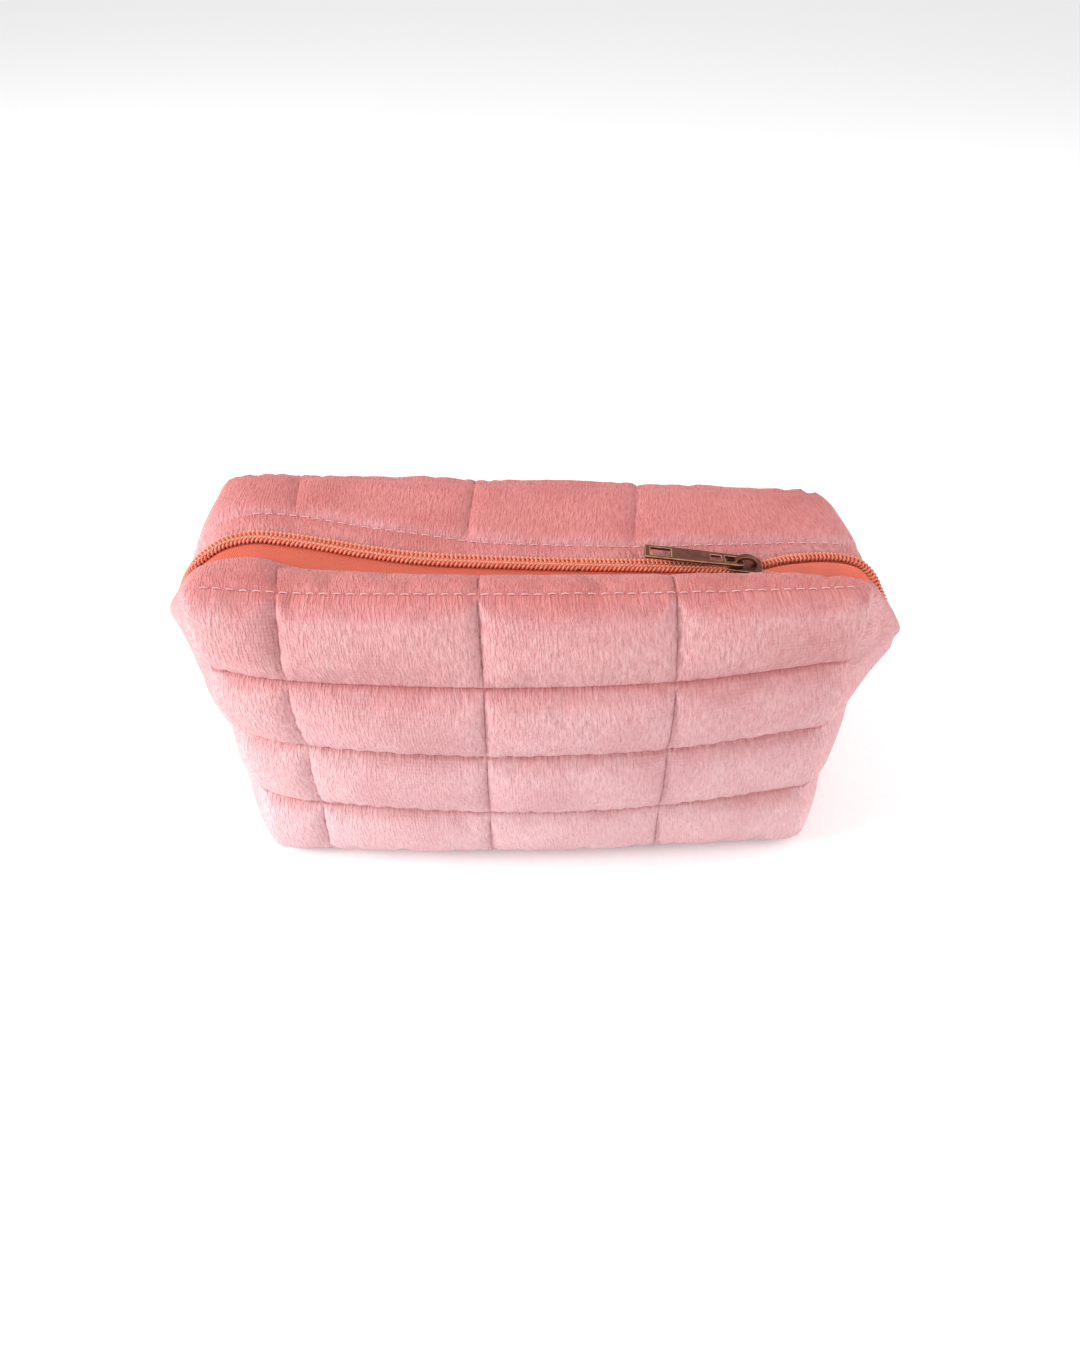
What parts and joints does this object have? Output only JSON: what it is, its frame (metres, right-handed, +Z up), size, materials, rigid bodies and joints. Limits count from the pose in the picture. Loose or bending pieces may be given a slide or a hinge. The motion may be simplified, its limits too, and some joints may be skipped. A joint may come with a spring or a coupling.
{
  "type": "makeup bag",
  "caption": "Boxy padded plush make-up bag, quilted in rectangles, with a full-length top zip, folding mouth strips and a metal pull.",
  "frame": {"origin": "on the floor under the middle of the bag", "axes": "+X along the zip towards the end where the slider stops when shut, -Y out of the front wall, +Z up"},
  "size_m": [0.2476, 0.0922, 0.12],
  "materials": {
    "plush": "short-pile plush, salmon pink",
    "wadding": "polyester wadding",
    "lining": "plain weave lining",
    "binding": "folded binding tape",
    "zip_tape": "twill zip tape, coral orange",
    "zip_coil": "nylon coil, satin",
    "thread": "polyester thread",
    "bronze": "antique bronze, rubbed edges"
  },
  "bodies": {
    "bag": {"front_panel": "plush", "back_panel": "plush", "bottom_panel": "plush", "left_end_panel": "plush", "right_end_panel": "plush", "left_upper_front_panel": "plush", "left_upper_back_panel": "plush", "right_upper_front_panel": "plush", "right_upper_back_panel": "plush", "front_wadding": "wadding", "back_wadding": "wadding", "bottom_wadding": "wadding", "left_end_wadding": "wadding", "right_end_wadding": "wadding", "front_lining": "lining", "back_lining": "lining", "bottom_lining": "lining", "left_end_lining": "lining", "right_end_lining": "lining", "left_upper_front_lining": "lining", "left_upper_back_lining": "lining", "right_upper_front_lining": "lining", "right_upper_back_lining": "lining", "left_end_binding": "binding", "right_end_binding": "binding", "left_zip_end": "zip_tape", "right_zip_end_front": "zip_tape", "right_zip_end_back": "zip_tape"},
    "front_lip": {"front_top_strip": "plush", "front_top_wadding": "wadding", "front_zip_tape": "zip_tape", "front_zip_coil": "zip_coil", "front_topstitch": "thread"},
    "back_lip": {"back_top_strip": "plush", "back_top_wadding": "wadding", "back_zip_tape": "zip_tape", "back_zip_coil": "zip_coil", "back_topstitch": "thread"},
    "slider": {"slider_body": "bronze", "slider_crown": "bronze"},
    "pull": {"pull_tab": "bronze"}
  },
  "joints": [
    {"name": "slider_travel", "type": "slide", "parent": "bag", "child": "slider", "axis": [0.9972, -0.0499, -0.0558], "range_m": [-0.148, 0.018], "deforming": ["front_zip_tape", "back_zip_tape", "left_zip_end", "right_zip_end_front", "right_zip_end_back", "front_zip_coil", "back_zip_coil"]},
    {"name": "front_lip_fold", "type": "hinge", "parent": "bag", "child": "front_lip", "pos_m": [0, -0.0293, 0.114], "axis": [0.9997, 0, -0.0224], "range_deg": [-10, 76]},
    {"name": "back_lip_fold", "type": "hinge", "parent": "bag", "child": "back_lip", "pos_m": [0, 0.0293, 0.114], "axis": [-0.9997, 0, 0.0224], "range_deg": [-8, 61]},
    {"name": "pull_tilt", "type": "hinge", "parent": "slider", "child": "pull", "pos_m": [0.06688, -0.00734, 0.10866], "axis": [0.0846, 0.9964, -0.0047], "range_deg": [0, 160]}
  ],
  "couplings": [
    {"joint": "front_lip_fold", "follows": "slider_travel", "rad_per_m": -8.8446},
    {"joint": "back_lip_fold", "follows": "slider_travel", "rad_per_m": -7.0757}
  ]
}
